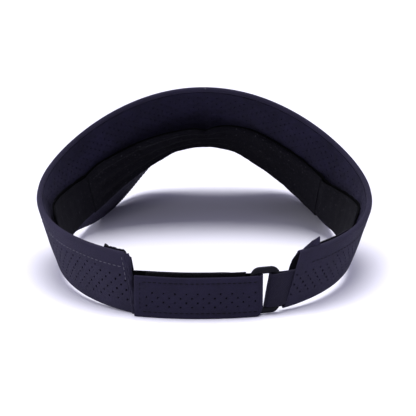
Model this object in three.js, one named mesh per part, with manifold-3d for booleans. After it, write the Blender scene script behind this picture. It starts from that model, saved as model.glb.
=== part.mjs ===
// Fabric sun visor with an arched brim and a strap that folds back through a ring.
// Millimetres. +Z is up, +Y points along the brim, +X is the wearer's right.
// The visor stands on its strap and on the two low sides of its brim, at z = 0.
// Angles run around the head: 0 is the forehead, +90 the right temple, 180 the back.

import * as THREE from "three";
import { mergeVertices } from "three/addons/utils/BufferGeometryUtils.js";
import Module from "manifold-3d";

// ---- Driving dimensions ----

// The crown band is ruled between two ovals: one around its lower edge, one around its upper edge.
const LOWER_OVAL = { halfWidth: 73.3, front: 91, back: 91.5, square: 0.016 };
const UPPER_OVAL = { halfWidth: 83.8, front: 64.5, back: 91.3, square: 0.009 };
const UPPER_HEIGHTS = [45.3, 23.9, 7.2, 2.0]; // cosine series of the upper edge's height
const UPPER_TILT = 1.0; // the left side stands this much higher than the middle
const ARCH = { rise: 41, spread: 49.5 }; // the lower edge's arch over the forehead
const ARCH_CROWN = { height: 2, reach: 20 }; // and the flatter top of that arch
const SIDE_LIFT = { height: 4.2, at: 110, reach: 60 }; // the lower edge is clear of the table here
const LOWER_TWIST = 0.8;

const TAB_END_LEFT = -157;
const TAB_END_RIGHT = 152;
const TAB_START = 119; // the tab facings take over from the crown lining here
const STATION = 5.5; // degrees between the stations around the band

// Layers of the band, as distances outward from its middle surface.
const OUTER_LAYER = [0.75, 1.45];
const CORE_LAYER = [-0.4, 0.4];
const LINING_LAYER = [-1.45, -0.75];

const SWEATBAND = {
  width: 25,
  padEnd: 58,
  end: 97,
  gap: 0.3,
  foam: 2.2,
  cover: 0.7,
  tail: 1.2,
  cornerRadius: 6,
};

const BRIM = {
  rootEnd: 72,
  boardEnd: 64,
  halfWidth: 71,
  sideY: 30,
  reach: 124,
  rootHeight: 1.9,
  slope: 0.07,
  sideSlope: 0.415,
  roll: 0.025,
  sway: 3.6,
  board: 0.9,
  skin: [1.2, 1.8],
  clearance: 2.15,
  droop: { depth: 2.0, at: 43, width: 6 }, // the right side hangs this much lower at its edge
};

const STRAP = {
  centre: new THREE.Vector2(-2.5, 18.2),
  flapRadius: 111.2,
  runRadius: 106.6,
  flapThickness: 1.6,
  runThickness: 0.8,
  foldX: 24.2,
  freeEndX: -31.2,
  flap: [0, 18.9],
  run: [1.6, 20.1],
  neck: [3.6, 19.0],
};
const LOOP_TAPE = { radius: 108.05, thickness: 1.2, from: -26, to: 19, z: [2.4, 20.1] };
const HOOK_TAPE = { radius: 109.5, thickness: 1.1, from: -30, to: -4, z: [1.4, 17.4] };

const RING = {
  leftBarX: 22.5,
  rightBar: new THREE.Vector2(33.3, -84.4),
  bar: 2.7,
  rail: 3.0,
  depth: 2.0,
  z: [0.3, 22.3],
  corner: 4,
};
const KEEPER = { thickness: 0.9, slack: 2.7, clearance: 0.5, z: [3.6, 18.9] };

// ---- Helpers ----

const rad = THREE.MathUtils.degToRad;
const wasm = await Module();
wasm.setup();

// The shapes are drawn about the middle of the head, and this puts the whole visor's middle at the origin.
const HEAD_CENTRE = new THREE.Vector3(0.05, -30.2, 0);
const visor = new THREE.Group();
visor.position.copy(HEAD_CENTRE);

function addMesh(name, geometry, color, roughness, metalness = 0) {
  const mesh = new THREE.Mesh(geometry, new THREE.MeshStandardMaterial({ color, roughness, metalness }));
  mesh.name = name;
  visor.add(mesh);
}

function toSolid(geometry) {
  const bare = new THREE.BufferGeometry();
  bare.setAttribute("position", geometry.getAttribute("position"));
  bare.setIndex(geometry.getIndex());
  const merged = mergeVertices(bare, 1e-4);
  return new wasm.Manifold(
    new wasm.Mesh({
      numProp: 3,
      vertProperties: new Float32Array(merged.attributes.position.array),
      triVerts: new Uint32Array(merged.index.array),
    }),
  );
}

function fromSolid(solid) {
  const mesh = solid.getMesh();
  const geometry = new THREE.BufferGeometry();
  geometry.setAttribute("position", new THREE.BufferAttribute(mesh.vertProperties.slice(), 3));
  geometry.setIndex(new THREE.BufferAttribute(mesh.triVerts.slice(), 1));
  return geometry;
}

// Keeps the largest body left after a cut, without the slivers.
function cut(geometry, ...tools) {
  let solid = toSolid(geometry);
  for (const tool of tools) solid = solid.subtract(toSolid(tool));
  const bodies = solid.decompose().sort((a, b) => b.volume() - a.volume());
  return fromSolid(bodies[0]);
}

// A closed solid between two grids of points, near(i, j) and far(i, j), for i in 0..m and j in 0..n.
function slab(m, n, near, far) {
  const points = [];
  for (const side of [near, far]) {
    for (let i = 0; i <= m; i++) {
      for (let j = 0; j <= n; j++) points.push(side(i, j));
    }
  }
  const id = (side, i, j) => side * (m + 1) * (n + 1) + i * (n + 1) + j;
  const index = [];
  const quad = (a, b, c, d) => index.push(a, b, c, a, c, d);
  for (let i = 0; i < m; i++) {
    for (let j = 0; j < n; j++) {
      quad(id(0, i, j), id(0, i, j + 1), id(0, i + 1, j + 1), id(0, i + 1, j));
      quad(id(1, i, j), id(1, i + 1, j), id(1, i + 1, j + 1), id(1, i, j + 1));
    }
    quad(id(0, i, 0), id(0, i + 1, 0), id(1, i + 1, 0), id(1, i, 0));
    quad(id(0, i + 1, n), id(0, i, n), id(1, i, n), id(1, i + 1, n));
  }
  for (let j = 0; j < n; j++) {
    quad(id(0, 0, j + 1), id(0, 0, j), id(1, 0, j), id(1, 0, j + 1));
    quad(id(0, m, j), id(0, m, j + 1), id(1, m, j + 1), id(1, m, j));
  }
  const geometry = new THREE.BufferGeometry().setFromPoints(points);
  geometry.setIndex(index);
  if (signedVolume(geometry) < 0) geometry.setIndex(index.slice().reverse());
  return geometry;
}

function signedVolume(geometry) {
  const p = geometry.getAttribute("position");
  const [a, b, c] = [new THREE.Vector3(), new THREE.Vector3(), new THREE.Vector3()];
  const index = geometry.getIndex().array;
  let sum = 0;
  for (let k = 0; k < index.length; k += 3) {
    a.fromBufferAttribute(p, index[k]);
    b.fromBufferAttribute(p, index[k + 1]);
    c.fromBufferAttribute(p, index[k + 2]);
    sum += a.dot(b.cross(c));
  }
  return sum;
}

// ---- The band's middle surface ----

function ovalPoint(oval, angle) {
  const u = rad(angle);
  const depth = Math.cos(u) > 0 ? oval.front : oval.back;
  const x = (oval.halfWidth * (Math.sin(u) + oval.square * Math.sin(3 * u))) / (1 - oval.square);
  const y = (depth * (Math.cos(u) - oval.square * Math.cos(3 * u))) / (1 - oval.square);
  return [x, y];
}

function upperHeight(angle) {
  const u = rad(angle);
  const series = UPPER_HEIGHTS.reduce((sum, term, k) => sum + term * Math.cos(k * u), 0);
  return series - UPPER_TILT * Math.sin(u);
}

function archCrown(angle) {
  return ARCH_CROWN.height * Math.exp(-((angle / ARCH_CROWN.reach) ** 4));
}

function lowerHeight(angle) {
  const arch = ARCH.rise * Math.exp(-((angle / ARCH.spread) ** 2));
  const away = Math.min(Math.abs(Math.abs(angle) - SIDE_LIFT.at) / SIDE_LIFT.reach, 1);
  const lift = SIDE_LIFT.height * Math.cos((away * Math.PI) / 2) ** 2;
  return arch + archCrown(angle) + lift - LOWER_TWIST * Math.sin(2 * rad(angle));
}

function lowerPoint(angle) {
  return new THREE.Vector3(...ovalPoint(LOWER_OVAL, angle), lowerHeight(angle));
}

function upperPoint(angle) {
  return new THREE.Vector3(...ovalPoint(UPPER_OVAL, angle), upperHeight(angle));
}

// t runs from 0 at the lower edge to 1 at the upper edge; out is the distance outward.
function bandPoint(angle, t, out = 0) {
  const step = 0.5;
  const at = (a) => lowerPoint(a).lerp(upperPoint(a), t);
  const along = at(angle + step).sub(at(angle - step));
  const up = upperPoint(angle).sub(lowerPoint(angle));
  const normal = up.cross(along).normalize();
  return at(angle).addScaledVector(normal, out);
}

function bandHeight(angle) {
  return upperPoint(angle).distanceTo(lowerPoint(angle));
}

// The two ends and every whole station between them, so that neighbouring layers have parallel facets.
function stations(from, to) {
  const [low, high] = [Math.min(from, to), Math.max(from, to)];
  const inner = [];
  for (let k = Math.ceil(low / STATION); k * STATION < high; k++) {
    const angle = k * STATION;
    if (angle - low > 1 && high - angle > 1) inner.push(angle);
  }
  return [low, ...inner, high];
}

// A layer of the band between two angles and two distances outward.
function bandLayer(from, to, [inside, outside], low = () => 0, high = () => 1, rows = 2) {
  const angles = stations(from, to);
  const point = (out) => (i, j) => {
    const a = angles[i];
    const t = low(a) + ((high(a) - low(a)) * j) / rows;
    return bandPoint(a, t, out);
  };
  return slab(angles.length - 1, rows, point(inside), point(outside));
}

// ---- The brim's middle surface ----

// The brim's elements run forward from the band's lower edge and fall more steeply at the sides.
function brimPoint(angle, reach) {
  const root = bandPoint(angle, 0, -4);
  const edge = lowerPoint(angle);
  const share = Math.min(Math.abs(edge.x) / BRIM.halfWidth, 1);
  const frontY = BRIM.sideY + BRIM.reach * (1 - share ** 6) ** 1.25;
  const fall = BRIM.slope + BRIM.sideSlope * share ** 3;
  const y = THREE.MathUtils.lerp(root.y, Math.max(frontY, edge.y + 2), reach);
  const x = THREE.MathUtils.lerp(root.x, edge.x, Math.min(reach * 4, 1));
  const sway = (BRIM.sway * Math.max(y - BRIM.sideY, 0)) / (95 - BRIM.sideY);
  const roll = BRIM.roll * (edge.x / BRIM.halfWidth) * (y - edge.y);
  const z = edge.z + BRIM.rootHeight - fall * (y - edge.y) + roll;
  const droop = BRIM.droop.depth * reach * Math.exp(-(((angle - BRIM.droop.at) / BRIM.droop.width) ** 2));
  return new THREE.Vector3(x + sway * Math.min(reach * 4, 1), y, z - droop);
}

function brimNormal(angle, reach) {
  const da = brimPoint(angle + 0.5, reach).sub(brimPoint(angle - 0.5, reach));
  const dr = brimPoint(angle, reach + 0.01).sub(brimPoint(angle, reach - 0.01));
  return da.cross(dr).normalize();
}

function brimLayer(inside, outside, tip = 1, end = BRIM.rootEnd, rows = 7) {
  const count = 28;
  const point = (up) => (i, j) => {
    const angle = -end + (2 * end * i) / count;
    const reach = (tip * j) / rows;
    return brimPoint(angle, reach).addScaledVector(brimNormal(angle, reach), up);
  };
  return slab(count, rows, point(inside), point(outside));
}

// ---- Colours ----

const NAVY = 0x1d1b29;
const NAVY_INNER = 0x15131f;
const BLACK = 0x0d0c12;
const GREY = 0x4a4a4e;

// ---- The brim ----

// Everything on the head's side of the band's middle surface, for trimming the brim's root.
const headSide = bandLayer(-85, 85, [-9, -0.4], () => -0.25, () => 0.5);
const brimClearance = brimLayer(-BRIM.clearance, BRIM.clearance, 1.02);
const [skinIn, skinOut] = BRIM.skin;

addMesh("brim_board", cut(brimLayer(-BRIM.board, BRIM.board, 0.985, BRIM.boardEnd), headSide), GREY, 0.8);
addMesh("brim_top_cover", cut(brimLayer(skinIn, skinOut), headSide), NAVY, 0.9);
addMesh("brim_under_cover", cut(brimLayer(-skinOut, -skinIn), headSide), NAVY, 0.9);

// ---- The crown ----

// Over the brim's root the outer layers start inside the brim's thickness, and are then cut back to it.
const overBrim = (angle) => {
  if (Math.abs(angle) > BRIM.rootEnd + 1) return 0;
  return BRIM.rootHeight / (upperHeight(angle) - lowerHeight(angle));
};

const HEM_START = -155.2;
const sides = [
  { side: "left", sign: -1, tabEnd: HEM_START },
  { side: "right", sign: 1, tabEnd: TAB_END_RIGHT },
];
const seam = 0.15; // each half keeps this many degrees clear of the middle seam

for (const { side, sign, tabEnd } of sides) {
  const outer = bandLayer(sign * seam, tabEnd, OUTER_LAYER, overBrim);
  addMesh(`crown_outer_${side}`, cut(outer, brimClearance), NAVY, 0.9);

  const lining = bandLayer(sign * seam, sign * (TAB_START - 0.4), LINING_LAYER, () => 0.01);
  addMesh(`crown_lining_${side}`, lining, NAVY_INNER, 0.9);

  const facingEnd = sign < 0 ? TAB_END_LEFT : TAB_END_RIGHT;
  const facing = bandLayer(sign * TAB_START, facingEnd, LINING_LAYER, () => 0.01, () => 1.02);
  addMesh(`tab_facing_${side}`, facing, BLACK, 0.95);
}

const core = bandLayer(-100, 100, CORE_LAYER, (a) => overBrim(a) + 0.03, () => 0.97);
addMesh("crown_stiffener", cut(core, brimClearance), GREY, 0.8);

const hem = bandLayer(HEM_START - 0.3, TAB_END_LEFT, [OUTER_LAYER[0], OUTER_LAYER[1] + 0.3], () => 0.01, () => 0.97);
addMesh("tab_end_hem_left", hem, NAVY, 0.9);

// The right tab's upper corner is folded over and stands up between its two layers.
const corner = bandLayer(141, 150, CORE_LAYER, () => 0.84, (a) => 1.03 + 0.11 * Math.sin(((a - 141) / 9) * Math.PI));
addMesh("tab_corner_fold_right", corner, NAVY, 0.9);

// ---- The sweatband ----

// The band's free upper edge hangs in towards the head, most of all in front.
function sweatLean(angle) {
  const bump = (height, at, width) => height * Math.exp(-(((angle - at) / width) ** 2));
  return 0.8 + bump(7.0, -12, 24) + bump(2.6, 0, 7) + bump(2.2, 62, 9) + bump(1.2, -93, 12);
}

function sweatPoint(angle, rise, depth) {
  const foot = bandPoint(angle, 0.02, LINING_LAYER[0] - SWEATBAND.gap);
  const tall = SWEATBAND.width - archCrown(angle);
  const top = bandPoint(angle, tall / bandHeight(angle), LINING_LAYER[0] - SWEATBAND.gap);
  const inward = bandPoint(angle, 0.5, 0).sub(bandPoint(angle, 0.5, 1));
  top.addScaledVector(inward, sweatLean(angle));
  return foot.lerp(top, rise).addScaledVector(inward, depth);
}

function sweatLayer(from, to, near, far, high = () => 1, rows = 3) {
  const angles = stations(from, to);
  const point = (depth) => (i, j) => sweatPoint(angles[i], (high(angles[i]) * j) / rows, depth);
  return slab(angles.length - 1, rows, point(near), point(far));
}

const coverNear = SWEATBAND.foam + 0.3;
const foam = sweatLayer(-SWEATBAND.padEnd + 1, SWEATBAND.padEnd - 1, 0, SWEATBAND.foam, () => 0.97);
addMesh("sweatband_foam", foam, GREY, 1.0);
const cover = sweatLayer(-SWEATBAND.padEnd, SWEATBAND.padEnd, coverNear, coverNear + SWEATBAND.cover);
addMesh("sweatband_cover", cover, BLACK, 0.95);

// The tails run on past the pad and end in a round upper corner.
const tailCorner = (angle) => {
  const arc = rad(SWEATBAND.end - Math.abs(angle)) * LOWER_OVAL.halfWidth;
  const inset = Math.max(SWEATBAND.cornerRadius - arc, 0);
  const drop = SWEATBAND.cornerRadius - Math.sqrt(SWEATBAND.cornerRadius ** 2 - inset ** 2);
  return 1 - drop / SWEATBAND.width;
};
for (const { side, sign } of sides) {
  const tail = sweatLayer(
    sign * (SWEATBAND.padEnd + 0.6), sign * SWEATBAND.end, 0, SWEATBAND.tail, tailCorner,
  );
  addMesh(`sweatband_tail_${side}`, tail, BLACK, 0.95);
}

// ---- The strap ----

// A point on an arc about the strap's centre.
function arcPoint(radius, x) {
  const dx = x - STRAP.centre.x;
  return new THREE.Vector2(x, STRAP.centre.y - Math.sqrt(radius ** 2 - dx ** 2));
}

function arcPoints(radius, from, to, count) {
  return Array.from({ length: count + 1 }, (_, i) => arcPoint(radius, from + ((to - from) * i) / count));
}

// A ribbon standing on edge. Each stop of its line gives a plan point for a height, so it can lean.
function ribbon(line, thickness, zRange) {
  const last = line.length - 1;
  const point = (sign) => (i, j) => {
    const z = zRange(i / last)[j];
    const along = line[Math.min(i + 1, last)](z).sub(line[Math.max(i - 1, 0)](z)).normalize();
    const across = new THREE.Vector2(-along.y, along.x).multiplyScalar((sign * thickness) / 2);
    const p = line[i](z).add(across);
    return new THREE.Vector3(p.x, p.y, z);
  };
  return slab(last, 1, point(-1), point(1));
}

const upright = (points) => points.map((p) => () => p.clone());
const blend = (from, to, share) => from.map((v, k) => THREE.MathUtils.lerp(v, to[k], share));

// A stop in the middle of the band's thickness.
const inBand = (angle) => (z) => {
  const t = (z - lowerHeight(angle)) / (upperHeight(angle) - lowerHeight(angle));
  const p = bandPoint(angle, t);
  return new THREE.Vector2(p.x, p.y);
};

// The strap's three parts meet at the fold, on one line through the strap's centre.
const foldMiddle = (STRAP.runRadius + STRAP.flapRadius) / 2;
const foldCentre = arcPoint(foldMiddle, STRAP.foldX);
const foldRadius = (STRAP.flapRadius - STRAP.runRadius) / 2;
const foldTilt = Math.asin((STRAP.foldX - STRAP.centre.x) / foldMiddle);
const foldEnd = (radius) => STRAP.centre.x + radius * Math.sin(foldTilt);

// The inner run is sewn inside the left tab and narrows where it enters the ring.
const runLine = [-146, -150, -154, -157.2].map(inBand);
runLine.push(...upright(arcPoints(STRAP.runRadius, -25, foldEnd(STRAP.runRadius), 8)));
const runWidth = (share) => blend(STRAP.run, STRAP.neck, THREE.MathUtils.smoothstep(share, 0.78, 0.97));
addMesh("strap_run", ribbon(runLine, STRAP.runThickness, runWidth), BLACK, 0.95);

// The fold turns round the ring's left bar and widens again towards the flap.
const foldGap = 0.16; // radians left open at each end of the turn
const foldLine = Array.from({ length: 9 }, (_, i) => {
  const turn = foldTilt + Math.PI / 2 - foldGap - ((Math.PI - 2 * foldGap) * i) / 8;
  return foldCentre.clone().add(new THREE.Vector2(Math.cos(turn), Math.sin(turn)).multiplyScalar(foldRadius));
});
const foldWidth = (share) => blend(STRAP.neck, STRAP.flap, THREE.MathUtils.smoothstep(share, 0.8, 1));
addMesh("strap_fold", ribbon(upright(foldLine), STRAP.runThickness, foldWidth), NAVY, 0.9);

const flapLine = upright(arcPoints(STRAP.flapRadius, foldEnd(STRAP.flapRadius), STRAP.freeEndX, 9));
addMesh("strap_flap", ribbon(flapLine, STRAP.flapThickness, () => STRAP.flap), NAVY, 0.9);

for (const [name, tape] of [["loop_tape", LOOP_TAPE], ["hook_tape", HOOK_TAPE]]) {
  const line = upright(arcPoints(tape.radius, tape.from, tape.to, 7));
  addMesh(name, ribbon(line, tape.thickness, () => tape.z), BLACK, 1.0);
}

// ---- The ring and its keeper ----

const leftBar = arcPoint((STRAP.runRadius + STRAP.flapRadius) / 2, RING.leftBarX);
const ringAlong = RING.rightBar.clone().sub(leftBar);
const ringWidth = ringAlong.length() + RING.bar;
const ringHeight = RING.z[1] - RING.z[0];

function roundedRectangle(path, width, height, radius) {
  const [w, h] = [width / 2, height / 2];
  path.moveTo(-w + radius, -h);
  path.lineTo(w - radius, -h);
  path.absarc(w - radius, -h + radius, radius, -Math.PI / 2, 0);
  path.absarc(w - radius, h - radius, radius, 0, Math.PI / 2);
  path.absarc(-w + radius, h - radius, radius, Math.PI / 2, Math.PI);
  path.absarc(-w + radius, -h + radius, radius, Math.PI, 1.5 * Math.PI);
  return path;
}

const ringOutline = roundedRectangle(new THREE.Shape(), ringWidth, ringHeight, RING.corner);
const windowSize = [ringWidth - 2 * RING.bar, ringHeight - 2 * RING.rail];
ringOutline.holes.push(roundedRectangle(new THREE.Path(), ...windowSize, 1));
const ringShape = new THREE.ExtrudeGeometry(ringOutline, {
  depth: RING.depth,
  bevelEnabled: false,
  curveSegments: 5,
});
ringShape.translate(0, 0, -RING.depth / 2);
ringShape.rotateX(Math.PI / 2);
ringShape.rotateZ(ringAlong.angle());
const ringCentre = leftBar.clone().add(RING.rightBar).multiplyScalar(0.5);
ringShape.translate(ringCentre.x, ringCentre.y, (RING.z[0] + RING.z[1]) / 2);
addMesh("ring", ringShape, 0x111014, 0.35);

// The keeper's webbing is sewn inside the right tab and loops loosely round the ring's right bar.
const keeperTail = [144, 147, 150, 152].map(inBand);
const eye = new THREE.Shape();
const eyeHalf = [RING.bar / 2 + KEEPER.clearance, RING.depth / 2 + KEEPER.clearance];
const eyeLength = 2 * eyeHalf[0] + KEEPER.slack;
const wall = KEEPER.thickness;
roundedRectangle(eye, eyeLength + 2 * wall, 2 * eyeHalf[1] + 2 * wall, eyeHalf[1] + wall - 0.01);
eye.holes.push(roundedRectangle(new THREE.Path(), eyeLength, 2 * eyeHalf[1], eyeHalf[1] - 0.01));
const keeperHeight = KEEPER.z[1] - KEEPER.z[0];
const eyeShape = new THREE.ExtrudeGeometry(eye, { depth: keeperHeight, bevelEnabled: false, curveSegments: 5 });
eyeShape.translate(-KEEPER.slack / 2, 0, 0);
eyeShape.rotateZ(ringAlong.angle());
eyeShape.translate(RING.rightBar.x, RING.rightBar.y, KEEPER.z[0]);

const tailRoot = RING.rightBar.clone().addScaledVector(ringAlong.clone().normalize(), eyeHalf[0] + wall / 2);
const tailLine = [...upright([tailRoot]), ...keeperTail.reverse()];
const tailRibbon = ribbon(tailLine, KEEPER.thickness, () => KEEPER.z);
addMesh("ring_keeper", fromSolid(toSolid(eyeShape).add(toSolid(tailRibbon))), NAVY, 0.95);

export default visor;
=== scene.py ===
import math
import random

import bpy
import numpy as np
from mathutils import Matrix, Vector


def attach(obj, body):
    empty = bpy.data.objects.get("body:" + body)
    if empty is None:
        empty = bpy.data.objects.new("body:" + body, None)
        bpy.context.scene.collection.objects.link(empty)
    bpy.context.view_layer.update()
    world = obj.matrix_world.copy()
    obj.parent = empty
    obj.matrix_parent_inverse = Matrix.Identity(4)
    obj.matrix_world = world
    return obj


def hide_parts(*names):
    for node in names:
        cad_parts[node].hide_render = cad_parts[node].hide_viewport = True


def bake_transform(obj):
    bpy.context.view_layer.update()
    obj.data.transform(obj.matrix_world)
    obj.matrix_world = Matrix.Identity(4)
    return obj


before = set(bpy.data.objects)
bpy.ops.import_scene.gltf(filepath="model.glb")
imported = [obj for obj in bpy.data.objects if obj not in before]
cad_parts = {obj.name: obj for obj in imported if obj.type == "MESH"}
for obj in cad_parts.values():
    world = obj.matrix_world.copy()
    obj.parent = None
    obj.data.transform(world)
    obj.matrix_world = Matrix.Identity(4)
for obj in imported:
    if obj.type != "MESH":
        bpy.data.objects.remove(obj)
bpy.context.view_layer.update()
random.seed(7)
rng = np.random.default_rng(7)

# ---- The visor's surfaces, in millimetres about the middle of the head ----
# Angles run around the head in degrees: 0 is the forehead, +90 the right temple, 180 the back.

MM = 0.001
HEAD_CENTRE = np.array([0.05, -30.2, 0.0])
LOWER_OVAL = (73.3, 91.0, 91.5, 0.016)  # half width, front depth, back depth, squareness
UPPER_OVAL = (83.8, 64.5, 91.3, 0.009)
UPPER_HEIGHTS = (45.3, 23.9, 7.2, 2.0)
TAB_END_LEFT = -157.0
HEM_START = -155.3
TAB_END_RIGHT = 152.0
TAB_START = 119.0
OUTER = 1.1  # the outer cloth's middle, outward from the band's middle surface
CLOTH = 0.6  # thickness of one cloth
BRIM_END = 72.5
PAD_END = 58.0
TAIL_END = 97.0


def smooth(x, low, high):
    t = np.clip((x - low) / (high - low), 0, 1)
    return t * t * (3 - 2 * t)


def bump(x, at, width):
    return np.exp(-(((x - at) / width) ** 2))


def unit(v):
    return v / np.maximum(np.linalg.norm(v, axis=-1, keepdims=True), 1e-9)


def oval(spec, angle):
    half, front, back, square = spec
    u = np.radians(angle)
    depth = np.where(np.cos(u) > 0, front, back)
    x = half * (np.sin(u) + square * np.sin(3 * u)) / (1 - square)
    y = depth * (np.cos(u) - square * np.cos(3 * u)) / (1 - square)
    return x, y


def upper_height(angle):
    u = np.radians(angle)
    return sum(h * np.cos(k * u) for k, h in enumerate(UPPER_HEIGHTS)) - np.sin(u)


def arch_crown(angle):
    return 2 * np.exp(-((angle / 20) ** 4))


def lower_height(angle):
    arch = 41 * np.exp(-((angle / 49.5) ** 2)) + arch_crown(angle)
    away = np.minimum(np.abs(np.abs(angle) - 110) / 60, 1)
    return arch + 4.2 * np.cos(away * np.pi / 2) ** 2 - 0.8 * np.sin(2 * np.radians(angle))


def lower(angle):
    x, y = oval(LOWER_OVAL, angle)
    return np.stack([x, y, lower_height(angle)], -1)


def upper(angle):
    x, y = oval(UPPER_OVAL, angle)
    return np.stack([x, y, upper_height(angle)], -1)


def height(angle):
    return np.linalg.norm(upper(angle) - lower(angle), axis=-1)


def band(angle, t, out=0.0):
    """Point on the band: t runs 0..1 up it, and out is the distance off its middle surface."""
    angle, t, out = np.broadcast_arrays(*(np.asarray(v, float) for v in (angle, t, out)))

    def at(a):
        return lower(a) + (upper(a) - lower(a)) * t[..., None]

    along = at(angle + 0.5) - at(angle - 0.5)
    normal = unit(np.cross(upper(angle) - lower(angle), along))
    return at(angle) + normal * out[..., None]


def outward(angle, t=0.5):
    """The band's outward direction, of unit length."""
    return band(angle, t, 1.0) - band(angle, t, 0.0)


def run_along(path):
    """Length along a line of points, 0 at its start."""
    return np.concatenate([[0], np.cumsum(np.linalg.norm(np.diff(path, axis=0), axis=1))])


# Angle against length along the band's middle line, for cloth cut to real lengths.
ANGLES = np.linspace(-160, 160, 3201)
LENGTHS = run_along(band(ANGLES, 0.5))
LENGTHS -= np.interp(0, ANGLES, LENGTHS)


def length_at(angle):
    return np.interp(angle, ANGLES, LENGTHS)


def angle_at(length):
    return np.interp(length, LENGTHS, ANGLES)


def waves(x, y, seed, size):
    """Smooth irregular value in about -1..1, with bumps of that size in millimetres."""
    r = np.random.default_rng(seed)
    total = 0
    for _ in range(7):
        direction = r.uniform(0, 2 * math.pi)
        k = 2 * math.pi / (size * r.uniform(0.7, 1.8))
        along = x * math.cos(direction) + y * math.sin(direction)
        total = total + np.sin(k * along + r.uniform(0, 6.28))
    return total / 4


# ---- Making meshes ----


def to_frame(points):
    return (np.asarray(points, float) + HEAD_CENTRE) * MM


def link_object(name, data):
    obj = bpy.data.objects.new(name, data)
    bpy.context.scene.collection.objects.link(obj)
    return obj


def set_uv(mesh, uv):
    """uv holds each vertex's place on the flat cloth, in millimetres."""
    layer = mesh.uv_layers.get("cloth") or mesh.uv_layers.new(name="cloth")
    loops = np.zeros(len(mesh.loops), int)
    mesh.loops.foreach_get("vertex_index", loops)
    layer.data.foreach_set("uv", (np.asarray(uv, float)[loops] * MM).ravel())


def make_object(name, points, faces, uv, material, sharp=38):
    mesh = bpy.data.meshes.new(name)
    mesh.from_pydata([tuple(p) for p in to_frame(points)], [], faces)
    mesh.validate()
    mesh.update()
    set_uv(mesh, uv)
    mesh.shade_smooth()
    mesh.set_sharp_from_angle(angle=math.radians(sharp))
    mesh.materials.append(material)
    return link_object(name, mesh)


def shell_faces(faces, count):
    """Closes a sheet of that many points with a second one behind it and walls along its open edges."""
    edges = {(a, b) for f in faces for a, b in zip(f, f[1:] + f[:1])}
    walls = [(b, a, a + count, b + count) for a, b in sorted(edges) if (b, a) not in edges]
    return list(faces) + [tuple(v + count for v in reversed(f)) for f in faces] + walls


def thicken(points, faces, uv, thickness):
    """A closed sheet of that thickness about a surface given as points and faces."""
    mesh = bpy.data.meshes.new("surface")
    mesh.from_pydata([tuple(p) for p in points], [], faces)
    mesh.update()
    normals = np.zeros(len(points) * 3)
    mesh.vertex_normals.foreach_get("vector", normals)
    bpy.data.meshes.remove(mesh)
    off = normals.reshape(-1, 3) * (thickness / 2)
    both = np.concatenate([points + off, points - off])
    return both, shell_faces(faces, len(points)), np.concatenate([uv, uv])


def uv_grid(us, vs):
    return np.stack(np.meshgrid(us, vs, indexing="ij"), -1).reshape(-1, 2)


def grid_faces(rows, columns, close=False, flip=False):
    faces = []
    for i in range(rows - 1):
        for j in range(columns if close else columns - 1):
            k = (j + 1) % columns
            f = (i * columns + j, (i + 1) * columns + j, (i + 1) * columns + k, i * columns + k)
            faces.append(f[::-1] if flip else f)
    return faces


def grid_sheet(name, surface, us, vs, thickness, material, flip=False):
    """A sheet over a whole grid. surface(u, v) gives points for arrays of u and v, in millimetres."""
    points = surface(*np.meshgrid(us, vs, indexing="ij")).reshape(-1, 3)
    faces = grid_faces(len(us), len(vs), flip=flip)
    return make_object(name, *thicken(points, faces, uv_grid(us, vs), thickness), material)


def rod_faces(rows, sides, base=0, flip=False):
    """Faces of a closed rod of rings. base is the number of its first point."""
    faces = [tuple(base + v for v in f) for f in grid_faces(rows, sides, close=True, flip=flip)]
    faces.append(tuple(base + k for k in range(sides)))
    faces.append(tuple(base + (rows - 1) * sides + k for k in reversed(range(sides))))
    return faces


HOLE_STEP = 0.4  # how far from a hole's middle the cloth's directions are measured


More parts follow.
